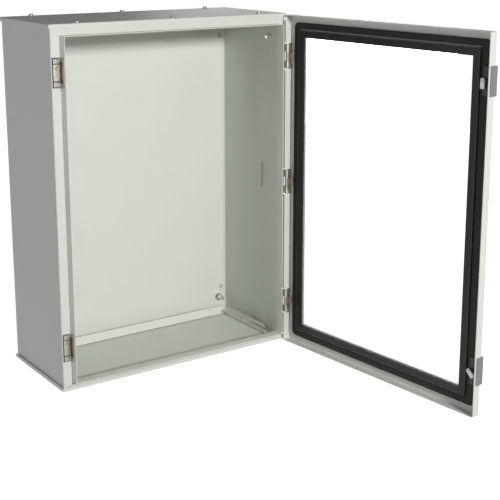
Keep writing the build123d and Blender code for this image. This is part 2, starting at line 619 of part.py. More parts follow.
def hinge_pin(level):
    """Headed pin through all three knuckles."""
    half = HINGE_LENGTH / 2
    pin = rod_z(AXIS_X, AXIS_Y, -half, half, PIN_R)
    pin += rod_z(AXIS_X, AXIS_Y, half, half + PIN_HEAD_H, PIN_HEAD_R)
    return Pos(0, 0, level) * pin


def door_leaf(level):
    """Leaf on the door plate with the middle knuckle."""
    half = KNUCKLE_DOOR_LENGTH / 2
    leaf = block(AXIS_X - KNUCKLE_R - DOOR_LEAF_WIDTH / 2 - HINGE_SCREW_HEAD_R, AXIS_X,
                 DOOR_INNER_Y, DOOR_INNER_Y + LEAF_SHEET, -half, half)
    leaf = fillet(leaf.edges().filter_by(Axis.Y).group_by(Axis.X)[0], 2 * BEND)
    leaf += block(AXIS_X - LEAF_SHEET, AXIS_X, DOOR_INNER_Y, AXIS_Y, -half, half)
    leaf += rod_z(AXIS_X, AXIS_Y, -half, half, KNUCKLE_R)
    leaf -= rod_z(AXIS_X, AXIS_Y, -half - CUT_MARGIN, half + CUT_MARGIN, PIN_R + PIN_RUNNING)
    for z in door_rivet_levels(0.0):
        leaf -= rod_y(door_rivet_x(), z, DOOR_INNER_Y - CUT_MARGIN, AXIS_Y, SCREW_HOLE_R)
    return Pos(0, 0, level) * leaf


def door_rivet(z):
    """Rivet through a door leaf and the door plate."""
    seat = DOOR_INNER_Y + LEAF_SHEET
    rivet = rod_y(door_rivet_x(), z, DOOR_FACE_Y, seat, HINGE_SCREW_R)
    head = rod_y(door_rivet_x(), z, seat, seat + HINGE_SCREW_HEAD_H, HINGE_SCREW_HEAD_R)
    return rivet + fillet(head.edges().group_by(Axis.Y)[-1], HINGE_SCREW_HEAD_H / 2)


# ---- locks -----------------------------------------------------------------------
def lock_housing(level):
    """Plastic housing that wraps the door's free edge and carries the barrel."""
    half = LOCK_LENGTH / 2
    face = DOOR_FACE_Y - LOCK_PROUD
    insert_y = LOCK_END_Y - LOCK_INSERT_H
    housing = block(-DOOR_HALF_W - LOCK_WRAP, LOCK_INNER_X, face, LOCK_END_Y, -half, half)
    housing = chamfer(housing.edges().group_by(Axis.Y)[0], LOCK_CHAMFER)
    housing -= block(-DOOR_HALF_W + SHEET, LOCK_INNER_X, insert_y, LOCK_END_Y, -half, half)
    housing -= rod_y(LOCK_X, 0, face - CUT_MARGIN, RIM_Y, BARREL_R + BARREL_RUNNING)
    housing -= rod_y(LOCK_X, 0, face - CUT_MARGIN, face + BARREL_HEAD_H + BARREL_HEAD_GAP,
                     BARREL_HEAD_R + BARREL_HEAD_GAP)
    return Pos(0, 0, level) * housing


def lock_insert(level):
    """Black plate that closes the housing on the door's inner side."""
    half = LOCK_LENGTH / 2
    insert = block(-DOOR_HALF_W + SHEET, LOCK_INNER_X, LOCK_END_Y - LOCK_INSERT_H, LOCK_END_Y,
                   -half, half)
    insert = fillet(insert.edges().group_by(Axis.Y)[-1], BEND)
    return Pos(0, 0, level) * insert - rod_y(LOCK_X, level, DOOR_FACE_Y, RIM_Y,
                                             BARREL_R + BARREL_RUNNING)


def lock_turned(shape, level, angle):
    """Turn a lock part about its barrel, from upright towards the latch."""
    turned = Pos(LOCK_X, 0, level) * Rot(0, angle, 0) * Pos(-LOCK_X, 0, 0)
    return turned * shape


def lock_barrel():
    """Barrel with a key slot in its head and a seat for the cam."""
    face = DOOR_FACE_Y - LOCK_PROUD
    barrel = rod_y(LOCK_X, 0, face, CAM_FACE_Y, BARREL_R)
    barrel += rod_y(LOCK_X, 0, face, face + BARREL_HEAD_H, BARREL_HEAD_R)
    half_w = KEY_SLOT_WIDTH / 2
    half_l = KEY_SLOT_LENGTH / 2
    barrel -= block(LOCK_X - half_l, LOCK_X + half_l, face - CUT_MARGIN, face + KEY_SLOT_DEPTH,
                    -half_w, half_w)
    barrel -= rod_y(LOCK_X, 0, CAM_FACE_Y - CUT_MARGIN, CAM_FACE_Y + CUT_MARGIN, CAM_SCREW_R)
    return barrel


def lock_cam():
    """Cam with a straight nose and a round tail."""
    cam = block(LOCK_X - CAM_WIDTH / 2, LOCK_X + CAM_WIDTH / 2, CAM_FACE_Y,
                CAM_FACE_Y + CAM_THICKNESS, -CAM_TAIL, CAM_NOSE)
    upright = cam.edges().filter_by(Axis.Y)
    cam = fillet(upright.group_by(Axis.Z)[0], CAM_WIDTH / 3)
    cam = fillet(cam.edges().filter_by(Axis.Y).group_by(Axis.Z)[-1], BEND)
    return cam - rod_y(LOCK_X, 0, CAM_FACE_Y - CUT_MARGIN, CAM_FACE_Y + CUT_MARGIN, CAM_SCREW_R)


def cam_screw():
    """Screw that holds the cam on the barrel."""
    seat = CAM_FACE_Y + CAM_THICKNESS
    screw = rod_y(LOCK_X, 0, CAM_FACE_Y - CUT_MARGIN, seat, CAM_SCREW_R)
    head = rod_y(LOCK_X, 0, seat, seat + CAM_SCREW_HEAD_H, CAM_SCREW_HEAD_R)
    return screw + fillet(head.edges().group_by(Axis.Y)[-1], CAM_SCREW_HEAD_H / 2)


def keeper_screw_x():
    """Screw line of the keepers."""
    return (-BODY_HALF_W + KEEPER_EDGE + COLLAR_LEFT) / 2


def keeper(level):
    """Angled strike plate on the flange and collar, slotted for the cam."""
    half = KEEPER_LENGTH / 2
    strike = block(-BODY_HALF_W + KEEPER_EDGE, COLLAR_LEFT, KEEPER_FACE_Y, FLANGE_Y, -half, half)
    strike = fillet(strike.edges().filter_by(Axis.Y).group_by(Axis.X)[0], 2 * BEND)
    upright = block(COLLAR_LEFT - KEEPER_SHEET, COLLAR_LEFT, COLLAR_TIP_Y + KEEPER_TIP_SETBACK,
                    FLANGE_Y, -half, half)
    strike += fillet(upright.edges().filter_by(Axis.X).group_by(Axis.Y)[0], 2 * BEND)
    for z in (-KEEPER_SCREW_PITCH / 2, KEEPER_SCREW_PITCH / 2):
        strike -= rod_y(keeper_screw_x(), z, KEEPER_FACE_Y - CUT_MARGIN, FLANGE_Y, SCREW_HOLE_R)
    return Pos(0, 0, level) * strike - keeper_slot(level)


def latch_pocket(level):
    """Plastic box on the collar's inner side that covers the latch slot."""
    root = COLLAR_LEFT + SHEET
    tip_y = KEEPER_FACE_Y - KEEPER_SLOT_REACH
    half = KEEPER_SLOT_LENGTH / 2
    box = block(root, root + POCKET_DEPTH, tip_y - POCKET_WALL, KEEPER_FACE_Y + POCKET_WALL,
                level - half - POCKET_WALL, level + half + POCKET_WALL)
    box = fillet(box.edges().group_by(Axis.X)[-1], POCKET_WALL)
    return box - block(root - CUT_MARGIN, root + POCKET_DEPTH - POCKET_WALL, tip_y, KEEPER_FACE_Y,
                       level - half, level + half)


def keeper_screws(level):
    """Screws that hold a keeper to the flange."""
    return [pan_screw(keeper_screw_x(), z, KEEPER_FACE_Y, KEEPER_SHEET + 2 * SHEET)
            for z in (level - KEEPER_SCREW_PITCH / 2, level + KEEPER_SCREW_PITCH / 2)]


# ---- the enclosure ---------------------------------------------------------------
def enclosure():
    """Every sub-part by its node name."""
    parts = dict(body_panels())
    parts["top_cover"] = top_cover()
    parts["top_cover_seal"] = top_cover_seal()
    for name, shape in cover_fixings().items():
        parts["top_" + name] = shape
    for name in [name for name in parts if name.startswith("top_cover")]:
        parts["bottom" + name[3:]] = mirror(parts[name], about=Plane.XY)
    parts["mounting_studs"] = group(plate_stud(x, z) for x, z in plate_stud_places())
    parts["mounting_stud_nuts"] = group(plate_nut(x, z) for x, z in plate_stud_places())
    parts.update(earth_parts())

    for name, level in zip(LOCK_NAMES, LOCK_LEVELS):
        parts[name + "_keeper"] = keeper(level)
        parts[name + "_latch_pocket"] = latch_pocket(level)
    parts["keeper_screws"] = group(s for level in LOCK_LEVELS for s in keeper_screws(level))
    for name, level in zip(HINGE_NAMES, HINGE_LEVELS):
        parts[name + "_hinge_body_leaf"] = body_leaf(level)
        parts[name + "_hinge_pin"] = hinge_pin(level)
        parts[name + "_hinge_door_leaf"] = opened(door_leaf(level))
    parts["hinge_screws"] = group(s for level in HINGE_LEVELS for s in hinge_screws(level))
    parts["hinge_rivets"] = group(opened(door_rivet(z)) for level in HINGE_LEVELS
                                  for z in door_rivet_levels(level))

    parts["door_frame"] = opened(door_frame())
    parts["door_gasket"] = opened(door_gasket())
    for name, shape in window_parts().items():
        parts[name] = opened(shape)
    for name, level, angle in zip(LOCK_NAMES, LOCK_LEVELS, LOCK_REST_ANGLES):
        parts[name + "_lock_housing"] = opened(lock_housing(level))
        parts[name + "_lock_insert"] = opened(lock_insert(level))
        parts[name + "_lock_barrel"] = opened(lock_turned(lock_barrel(), level, angle))
        parts[name + "_lock_cam"] = opened(lock_turned(lock_cam(), level, angle))
        parts[name + "_lock_cam_screw"] = opened(lock_turned(cam_screw(), level, angle))
    return parts


def hinge_axis():
    """Point and direction of the door's hinge axis."""
    return (AXIS_X, AXIS_Y, 0.0), (0.0, 0.0, 1.0)


def lock_axis(level):
    """Point and direction of a lock's axis with the door in the stored pose."""
    angle = radians(DOOR_OPEN_ANGLE)
    dx = LOCK_X - AXIS_X
    dy = RIM_Y - AXIS_Y
    point = (AXIS_X + dx * cos(angle) - dy * sin(angle), AXIS_Y + dx * sin(angle) + dy * cos(angle),
             level)
    return point, (-sin(angle), cos(angle), 0.0)


if __name__ == "__main__":
    os.makedirs("parts", exist_ok=True)
    for node, solid in enclosure().items():
        export_step(solid, f"parts/{node}.step")
    print("door hinge axis (mm):", hinge_axis())
    for lock_name, lock_level in zip(LOCK_NAMES, LOCK_LEVELS):
        print(lock_name, "lock axis (mm):", lock_axis(lock_level))
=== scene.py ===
"""Looks of the steel wall enclosure: paint, metal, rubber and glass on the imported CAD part.

Every length is in metres, in the frame of the CAD part: X to the right, +Y to the
wall, +Z up.
"""

import json
from math import cos, hypot, pi, radians, sin

import bmesh
import bpy
from mathutils import Matrix, Vector


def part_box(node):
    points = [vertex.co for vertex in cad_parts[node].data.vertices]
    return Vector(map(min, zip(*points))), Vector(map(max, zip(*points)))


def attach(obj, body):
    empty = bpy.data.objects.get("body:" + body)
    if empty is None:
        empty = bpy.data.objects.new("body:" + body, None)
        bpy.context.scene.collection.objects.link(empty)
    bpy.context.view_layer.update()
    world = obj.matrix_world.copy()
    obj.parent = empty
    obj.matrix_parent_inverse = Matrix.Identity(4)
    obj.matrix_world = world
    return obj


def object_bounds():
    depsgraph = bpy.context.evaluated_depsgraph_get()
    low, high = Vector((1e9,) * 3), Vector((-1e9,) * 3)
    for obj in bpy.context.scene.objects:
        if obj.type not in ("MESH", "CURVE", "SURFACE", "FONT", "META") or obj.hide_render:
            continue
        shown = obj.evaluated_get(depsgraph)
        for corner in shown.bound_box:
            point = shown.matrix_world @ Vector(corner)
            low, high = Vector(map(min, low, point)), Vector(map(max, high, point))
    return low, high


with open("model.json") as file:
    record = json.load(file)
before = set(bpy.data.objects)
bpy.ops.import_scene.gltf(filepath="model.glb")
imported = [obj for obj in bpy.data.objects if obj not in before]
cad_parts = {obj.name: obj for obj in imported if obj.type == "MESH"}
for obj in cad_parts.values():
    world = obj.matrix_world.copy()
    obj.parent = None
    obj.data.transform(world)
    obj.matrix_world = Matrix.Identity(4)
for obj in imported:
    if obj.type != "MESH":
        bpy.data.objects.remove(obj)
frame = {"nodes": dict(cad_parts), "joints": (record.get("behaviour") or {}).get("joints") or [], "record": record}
cad_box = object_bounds()

# ---- places from the frame --------------------------------------------------------------
HINGES = ("lower_hinge", "middle_hinge", "upper_hinge")
KEEPERS = ("lower_keeper", "upper_keeper")
WALL_HOLES = next(mount for mount in frame["record"]["mounts"] if mount["name"] == "wall_holes")["dims"]
DOOR_SWING = next(joint for joint in frame["joints"] if joint["name"] == "door_swing")
HINGE_PLACE = Vector(DOOR_SWING["pos_m"])
OPENED = (Matrix.Translation(HINGE_PLACE) @ Matrix.Rotation(radians(-DOOR_SWING["range_deg"][0]), 4, "Z")
          @ Matrix.Translation(-HINGE_PLACE))

# ---- camera -----------------------------------------------------------------------
CAMERA_PLACE = (-1.254, -2.365, 0.579)
CAMERA_YAW = 34.54              # degrees from +Y towards +X
CAMERA_PITCH = -12.95
CAMERA_LENS = 80.2              # millimetres on a 36 mm sensor
CAMERA_SHIFT_Y = -0.12

# ---- light and stage --------------------------------------------------------------
WORLD_COLOR = (1.0, 1.0, 1.0)
WORLD_LIGHT = 0.07              # what surfaces receive from all round
CEILING_LIGHT = 0.08            # what gloss shows of the studio's ceiling
CEILING_START = -0.05           # heights of a ray's direction where the white horizon ends
CEILING_END = 0.2
KEY_PLACE = (-0.1, -5.0, 1.38)
KEY_SIZE = 0.5
KEY_POWER = 187.0
SIDE_PLACE = (-3.0, -0.3, 0.2)
SIDE_SIZE = 1.6
SIDE_POWER = 22.3
SIDE_COLOR = (0.92, 0.92, 1.0)
REAR_PLACE = (2.3, 2.3, 0.25)
REAR_SIZE = 1.6
REAR_POWER = 45.0
FLOOR_SIZE = 60.0
FLOOR_GAP = 0.0005              # part to floor
FLOOR_ALBEDO = 0.5
FLOOR_GLOW = 0.9                # what the camera adds to the floor's own shading, near the part
GLOW_START = 1.0                # metres from the part's middle where the floor starts to turn white
GLOW_END = 4.0

# ---- colours, linear ----------------------------------------------------------------
PAINT = (0.678, 0.702, 0.645)
RUBBER = (0.011, 0.013, 0.009)
FRAME_BLACK = (0.008, 0.009, 0.008)
SEAL_FOAM = (0.030, 0.030, 0.030)
GLASS = (0.99, 1.0, 0.995)
PLASTIC = (0.20, 0.203, 0.215)
LIGHT_PLASTIC = (0.46, 0.47, 0.44)
BLACK_PLASTIC = (0.016, 0.016, 0.016)
NICKEL = (0.46, 0.43, 0.36)
YELLOW_ZINC = (0.40, 0.37, 0.30)
STEEL = (0.42, 0.43, 0.41)
STUD = (0.60, 0.60, 0.54)
CAP_NUT = (0.78, 0.77, 0.70)
LEAF_GREY = (0.52, 0.52, 0.45)
SCREW_BLACK = (0.10, 0.095, 0.08)
# lighter than the window's black: a painted highlight line along the gasket
EDGE_HIGHLIGHT_GREY = (0.06, 0.062, 0.056)

# ---- trim that is made here, metres -----------------------------------------------------
KEEPER_SHEET = 0.0015           # strike plate on the flange
KEEPER_SCREW_PITCH = 0.048
SHADE_COMB_WIDTH = 0.0018             # black comb round a strike plate, painted shade along its edges
SHADE_COMB_OVERHANG = 0.0003
SHADE_COMB_HEIGHT = 0.0007
SHADE_COMB_SETBACK = 0.002            # comb to the keeper's leg
END_CAP_HEIGHT = 0.0105         # bright caps round the screws at a keeper's ends
END_CAP_RISE = 0.0014
SCREW_HOLE_R = 0.0038
BOSS_R = 0.0034
BOSS_RISE = 0.0013
BOSS_OFFSET = 0.009             # above the keeper's middle

GUARD_NEAR = 0.0052             # hinge guard, measured from the hinge axis towards the door's face
GUARD_FAR = 0.0128
GUARD_OFFSET = 0.0006           # outwards from the hinge axis
GUARD_SHEET = 0.0012
GUARD_LONGER = 0.0015           # than the hinge, at each end
LUG_HEIGHT = 0.013
LUG_RISE = 0.0016
LUG_HOLE_R = 0.0019

LIP_SHEET = 0.0013              # return lip along the hinge side of the body
LIP_INSET = 0.0002
LIP_REACH = 0.0065
LIP_ROOT = 0.001                # runs into the rounded fold
HINGE_ROOM = 0.0022             # lip to a hinge leaf

PLUG_HEAD_R = 0.0058
PLUG_BODY_R = 0.0043
PLUG_RISE = 0.0009
CHANNEL_WIDTH = 0.0017          # edge strip that the window's frame is pushed into; its grey is a painted highlight line along the gasket
CHANNEL_GAP = 0.0001
FIT = 0.00005


class Surface:
    """A Principled material whose textures are laid out in the part's own metres."""

    def __init__(self, name):
        self.material = bpy.data.materials.new(name)
        self.material.use_nodes = True
        self.tree = self.material.node_tree
        self.shader = self.tree.nodes["Principled BSDF"]
        self.place = self.tree.nodes.new("ShaderNodeTexCoord").outputs["Object"]

    def set(self, socket, value):
        """Plain value on one of the shader's own sockets."""
        self.shader.inputs[socket].default_value = value

    def noise(self, size, detail=2.0, stretch=(1.0, 1.0, 1.0)):
        """Noise with features about that many metres across."""
        mapping = self.tree.nodes.new("ShaderNodeMapping")
        mapping.inputs["Scale"].default_value = stretch
        self.tree.links.new(self.place, mapping.inputs["Vector"])
        texture = self.tree.nodes.new("ShaderNodeTexNoise")
        texture.inputs["Scale"].default_value = 1.0 / size
        texture.inputs["Detail"].default_value = detail
        self.tree.links.new(mapping.outputs["Vector"], texture.inputs["Vector"])
        return texture.outputs["Fac"]

    def cells(self, size):
        """Cell pattern with cells about that many metres across."""
        texture = self.tree.nodes.new("ShaderNodeTexVoronoi")
        texture.inputs["Scale"].default_value = 1.0 / size
        self.tree.links.new(self.place, texture.inputs["Vector"])
        return texture.outputs["Distance"]

    def ramp(self, factor, low, high, start=0.3, end=0.7):
        """Colours from low to high as the factor goes from start to end."""
        ramp = self.tree.nodes.new("ShaderNodeValToRGB")
        for stop, position, color in zip(ramp.color_ramp.elements, (start, end), (low, high)):
            stop.position = position
            stop.color = (*color, 1.0)
        self.tree.links.new(factor, ramp.inputs["Fac"])
        return ramp.outputs["Color"]

    def between(self, factor, low, high):
        """Number from low to high as the factor goes from 0 to 1."""
        ranged = self.tree.nodes.new("ShaderNodeMapRange")
        ranged.inputs["To Min"].default_value = low
        ranged.inputs["To Max"].default_value = high
        self.tree.links.new(factor, ranged.inputs["Value"])
        return ranged.outputs["Result"]

    def bump(self, height, depth, over=None):
        """Relief that many metres deep, on top of another relief."""
        bump = self.tree.nodes.new("ShaderNodeBump")
        bump.inputs["Strength"].default_value = 1.0
        bump.inputs["Distance"].default_value = depth
        self.tree.links.new(height, bump.inputs["Height"])
        if over is not None:
            self.tree.links.new(over, bump.inputs["Normal"])
        return bump.outputs["Normal"]

    def link(self, socket, texture):
        """Texture into one of the shader's sockets."""
        self.tree.links.new(texture, self.shader.inputs[socket])


def shade(color, factor):
    """The same colour, lighter or darker."""
    return tuple(min(1.0, channel * factor) for channel in color)


def powder_coat():
    """Baked paint: slight orange peel, fine grain and hardly visible clouding."""
    paint = Surface("powder_coat")
    clouds = paint.noise(0.12, detail=4.0)
    peel = paint.noise(0.0022, detail=1.0)
    grain = paint.noise(0.0006, detail=2.0)
    paint.link("Base Color", paint.ramp(clouds, shade(PAINT, 0.985), shade(PAINT, 1.015)))
    paint.link("Roughness", paint.between(clouds, 0.44, 0.54))
    paint.link("Normal", paint.bump(grain, 0.00001, over=paint.bump(peel, 0.00004)))
    return paint.material


def foam_rubber():
    """Cast polyurethane bead: a closed skin over small cells."""
    foam = Surface("foam_rubber")
    cells = foam.cells(0.0016)
    clouds = foam.noise(0.02, detail=3.0)
    foam.link("Base Color", foam.ramp(clouds, shade(RUBBER, 0.8), shade(RUBBER, 1.3)))
    foam.link("Roughness", foam.between(clouds, 0.55, 0.75))
    foam.link("Normal", foam.bump(cells, 0.00015))
    foam.set("Specular IOR Level", 0.3)
    return foam.material


def cover_foam():
    """Cut cellular rubber under the covers."""
    foam = Surface("cover_foam")
    cells = foam.cells(0.0009)
    foam.link("Base Color", foam.ramp(cells, shade(SEAL_FOAM, 0.5), shade(SEAL_FOAM, 1.4), 0.1, 0.6))
    foam.link("Normal", foam.bump(cells, 0.0003))
    foam.set("Roughness", 0.9)
    return foam.material


def black_frame():
    """Satin black frame of the window."""
    satin = Surface("black_frame")
    grain = satin.noise(0.0008, detail=2.0)
    clouds = satin.noise(0.04, detail=3.0)
    satin.link("Base Color", satin.ramp(clouds, shade(FRAME_BLACK, 0.85), shade(FRAME_BLACK, 1.2)))
    satin.link("Roughness", satin.between(clouds, 0.32, 0.45))
    satin.link("Normal", satin.bump(grain, 0.00003))
    satin.set("Specular IOR Level", 0.3)
    return satin.material


def glazing_rubber():
    """Smooth black tape between pane and door."""
    tape = Surface("glazing_rubber")
    grain = tape.noise(0.0015, detail=2.0)
    tape.link("Base Color", tape.ramp(grain, shade(RUBBER, 0.7), shade(RUBBER, 1.1)))
    tape.link("Roughness", tape.between(grain, 0.5, 0.7))
    tape.link("Normal", tape.bump(grain, 0.00005))
    return tape.material


def clear_glass():
    """Toughened glass, with the faint waviness that its tempering leaves."""
    glass = Surface("clear_glass")
    waves = glass.noise(0.09, detail=1.0, stretch=(1.0, 1.0, 0.3))
    dust = glass.noise(0.01, detail=4.0)
    glass.link("Base Color", glass.ramp(dust, shade(GLASS, 0.995), GLASS))
    glass.link("Roughness", glass.between(dust, 0.0, 0.02))
    glass.link("Normal", glass.bump(waves, 0.00002))
    glass.set("IOR", 1.46)
    glass.set("Specular IOR Level", 0.2)
    glass.set("Transmission Weight", 1.0)
    return glass.material


def moulded_plastic(name, color):
    """Moulded plastic with a spark-eroded grain."""
    plastic = Surface(name)
    grain = plastic.noise(0.0005, detail=3.0)
    clouds = plastic.noise(0.02, detail=2.0)
    plastic.link("Base Color", plastic.ramp(clouds, shade(color, 0.95), shade(color, 1.05)))
    plastic.link("Roughness", plastic.between(clouds, 0.42, 0.52))
    plastic.link("Normal", plastic.bump(grain, 0.00004))
    return plastic.material


def plated_metal(name, color, patches, roughness):
    """Plated steel with a drawn grain and slight stains in the plating."""
    metal = Surface(name)
    stains = metal.noise(0.008, detail=4.0)
    drawn = metal.noise(0.0006, detail=2.0, stretch=(1.0, 1.0, 0.06))
    metal.link("Base Color", metal.ramp(stains, shade(color, 1.0 - patches), shade(color, 1.0 + patches)))
    metal.link("Roughness", metal.between(stains, roughness - 0.08, roughness + 0.10))
    metal.link("Normal", metal.bump(drawn, 0.00003))
    metal.set("Metallic", 1.0)
    return metal.material


def make_finishes():
    """Every finish by the material slot that it belongs to."""
    paint = powder_coat()
    return {
        "body_paint": paint,
        "cover_paint": paint,
        "door_paint": paint,
        "gasket_foam": foam_rubber(),
        "cover_seal_foam": cover_foam(),
        "glazing_seal": glazing_rubber(),
        "black_frame": black_frame(),
        "clear_glass": clear_glass(),
        "grey_plastic": moulded_plastic("grey_plastic", PLASTIC),
        "black_plastic": moulded_plastic("black_plastic", BLACK_PLASTIC),
        "nickel_plate": plated_metal("nickel_plate", NICKEL, 0.10, 0.36),
        "zinc_yellow": plated_metal("yellow_zinc", YELLOW_ZINC, 0.18, 0.38),
        "stud_steel": plated_metal("stud_steel", STUD, 0.15, 0.42),
        "bright_steel": plated_metal("bright_zinc", STEEL, 0.10, 0.32),
    }


def dress_frame():
    """Every CAD node takes the finish of its material slot, apart from some plated ones."""
    for subpart in frame["record"]["subparts"]:
        for material_slot in frame["nodes"][subpart["node"]].material_slots:
            material_slot.material = finishes[subpart["material_slot"]]
    satin_zinc = plated_metal("satin_zinc", CAP_NUT, 0.06, 0.5)
    leaf_zinc = plated_metal("leaf_zinc", LEAF_GREY, 0.15, 0.5)
    others = {
        "earth_nut": satin_zinc,
        "earth_washer": satin_zinc,
        "mounting_stud_nuts": satin_zinc,
        "hinge_screws": plated_metal("black_zinc", SCREW_BLACK, 0.10, 0.42),
        "lower_hinge_body_leaf": leaf_zinc,
        "middle_hinge_body_leaf": leaf_zinc,
        "upper_hinge_body_leaf": leaf_zinc,
    }
    for node, finish in others.items():
        for material_slot in frame["nodes"][node].material_slots:
            material_slot.material = finish


# ---- trim ------------------------------------------------------------------------------
def rounded(u0, u1, v0, v1, radius, steps=6):
    """Rectangle between two corners, with round corners."""
    points = []
    for cu, cv, start in ((u1 - radius, v0 + radius, -pi / 2), (u1 - radius, v1 - radius, 0.0),
                          (u0 + radius, v1 - radius, pi / 2), (u0 + radius, v0 + radius, pi)):
        for step in range(steps + 1):
            angle = start + pi / 2 * step / steps
            points.append((cu + radius * cos(angle), cv + radius * sin(angle)))
    return points


def circle(cu, cv, radius, steps=32):
    """Round outline."""
    return [(cu + radius * cos(2 * pi * step / steps), cv + radius * sin(2 * pi * step / steps))
            for step in range(steps)]


def piece(name, mesh, matrix, body, material_slot, finish=None):
    """A finished mesh as a piece that rides on a body, in its slot's finish or another one."""
    made = bpy.data.objects.new(name, mesh)
    bpy.context.scene.collection.objects.link(made)
    made.matrix_world = matrix
    mesh.materials.append(finish or finishes[material_slot])
    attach(made, body)
    return made


def stamped(name, loops, height, edge):
    """Flat shape inside the first loop and outside the others, as high as said, edges broken."""
    form = bmesh.new()
    for loop in loops:
        corners = [form.verts.new((u, v, 0.0)) for u, v in loop]
        for start, end in zip(corners, corners[1:] + corners[:1]):
            form.edges.new((start, end))
    bmesh.ops.triangle_fill(form, use_beauty=True, use_dissolve=False, edges=form.edges[:])
    lower = form.faces[:]
    raised = bmesh.ops.extrude_face_region(form, geom=lower, use_keep_orig=True)["geom"]
    top = [part for part in raised if isinstance(part, bmesh.types.BMVert)]
    bmesh.ops.translate(form, vec=(0.0, 0.0, height), verts=top)
    bmesh.ops.recalc_face_normals(form, faces=form.faces[:])
    rim = [side for side in form.edges
           if len(side.link_faces) == 2 and all(corner in top for corner in side.verts)
           and side.calc_face_angle(0.0) > 1.0]
    bmesh.ops.bevel(form, geom=rim, offset=edge, segments=2, profile=0.5, affect="EDGES")
    mesh = bpy.data.meshes.new(name)
    form.to_mesh(mesh)
    form.free()
    return mesh


def turned(name, profile, steps=40):
    """Form turned about Z from a profile of (radius, height) points, closed at the axis."""
    form = bmesh.new()
    corners = [form.verts.new((radius, 0.0, height)) for radius, height in profile]
    sides = [form.edges.new(pair) for pair in zip(corners, corners[1:])]
    bmesh.ops.spin(form, geom=corners + sides, cent=(0, 0, 0), axis=(0, 0, 1), angle=2 * pi,
                   steps=steps, use_merge=True)
    bmesh.ops.remove_doubles(form, verts=form.verts[:], dist=1e-6)
    bmesh.ops.recalc_face_normals(form, faces=form.faces[:])
    mesh = bpy.data.meshes.new(name)
    form.to_mesh(mesh)
    form.free()
    mesh.shade_smooth()
    return mesh


def facing_front(place):
    """Drawn in X and Z, and raised towards the front."""
    return Matrix.Translation(place) @ Matrix(((1, 0, 0, 0), (0, 0, -1, 0), (0, 1, 0, 0), (0, 0, 0, 1)))


def shut_box(node):
    """Lowest and highest corner of a door's node as it lies when the door is shut."""
    drawn = frame["nodes"][node]
    back = OPENED.inverted() @ drawn.matrix_world
    corners = [back @ vertex.co for vertex in drawn.data.vertices]
    return (Vector([min(corner[axis] for corner in corners) for axis in range(3)]),
            Vector([max(corner[axis] for corner in corners) for axis in range(3)]))


def comb(u0, u1, width, prongs):
    """Outline of an upright bar with prongs between the heights given."""
    points = [(u0, prongs[0][0])]
    for v0, v1 in prongs:
        points += [(u0 + width, v0), (u1, v0), (u1, v1), (u0 + width, v1)]
    points.append((u0, prongs[-1][1]))
    return points


def keeper_shade_comb_and_caps(name):
    """Black comb round the strike plate that paints the shade and dark edge reflections along its edges, bright
    caps at its ends and a boss in its middle.
    """
    low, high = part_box(name)
    face = high.y - KEEPER_SHEET
    place = facing_front((0.0, face, (low.z + high.z) / 2))
    outer = low.x - SHADE_COMB_OVERHANG
    inner = high.x - KEEPER_SHEET - SHADE_COMB_SETBACK
    end = (high.z - low.z) / 2 + SHADE_COMB_OVERHANG
    cap_end = end - SHADE_COMB_WIDTH
    cap_start = cap_end - END_CAP_HEIGHT
    prongs = [(-end, -cap_end), (-cap_start, -cap_start + SHADE_COMB_WIDTH), (cap_start - SHADE_COMB_WIDTH, cap_start),
              (cap_end, end)]
    # the black comb is painted shade: it darkens the strike plate's outer edge and the ends of its caps
    mesh = stamped(name + "_shade_comb", [comb(outer, inner, SHADE_COMB_WIDTH, prongs)], SHADE_COMB_HEIGHT, SHADE_COMB_HEIGHT / 4)
    piece(name + "_shade_comb", mesh, place, "cabinet", "black_plastic")
    screws_low, screws_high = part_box("keeper_screws")
    screw_x = (screws_low.x + screws_high.x) / 2
    for side, sign in (("lower", -1), ("upper", 1)):
        v0, v1 = sorted((sign * (cap_start + FIT), sign * (cap_end - FIT)))
        outline = rounded(outer + SHADE_COMB_WIDTH + FIT, inner, v0, v1, SHADE_COMB_WIDTH / 2)
        hole = circle(screw_x, sign * KEEPER_SCREW_PITCH / 2, SCREW_HOLE_R)
        mesh = stamped(f"{name}_{side}_cap", [outline, hole], END_CAP_RISE, END_CAP_RISE / 3)
        piece(f"{name}_{side}_cap", mesh, place, "cabinet", "bright_steel")
    profile = [(0.0, BOSS_RISE / 3), (BOSS_R / 3, BOSS_RISE / 3), (BOSS_R / 3, BOSS_RISE),
               (BOSS_R * 0.7, BOSS_RISE * 0.85), (BOSS_R, 0.0), (0.0, 0.0)]
    boss_place = place @ Matrix.Translation((screw_x, BOSS_OFFSET, 0.0))
    piece(name + "_boss", turned(name + "_boss", profile), boss_place, "cabinet", "bright_steel")


def hinge_guard(name):
    """Plate in the door's notch behind the knuckles, with a drilled lug at each end."""
    low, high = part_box(name + "_body_leaf")
    half = (high.z - low.z) / 2 + GUARD_LONGER
    near = GUARD_NEAR - HINGE_PLACE.y
    far = GUARD_FAR - HINGE_PLACE.y
    sideways = Matrix(((0, 0, -1, 0), (-1, 0, 0, 0), (0, 1, 0, 0), (0, 0, 0, 1)))
    face = OPENED @ Matrix.Translation((HINGE_PLACE.x + GUARD_OFFSET, 0.0, (low.z + high.z) / 2)) @ sideways
    mesh = stamped(name + "_guard", [rounded(near, far, -half, half, GUARD_SHEET)], GUARD_SHEET,
                   GUARD_SHEET / 4)
    piece(name + "_guard", mesh, face @ Matrix.Translation((0.0, 0.0, -GUARD_SHEET)), "door", "zinc_yellow")
    for side, sign in (("lower", -1), ("upper", 1)):
        v0, v1 = sorted((sign * (half - LUG_HEIGHT), sign * (half - GUARD_SHEET)))
        hole = circle((near + far) / 2, (v0 + v1) / 2, LUG_HOLE_R)
        outline = rounded(near + FIT, far - FIT, v0, v1, GUARD_SHEET)
        mesh = stamped(f"{name}_{side}_lug", [outline, hole], LUG_RISE, LUG_RISE / 4)
        piece(f"{name}_{side}_lug", mesh, face, "door", "bright_steel")


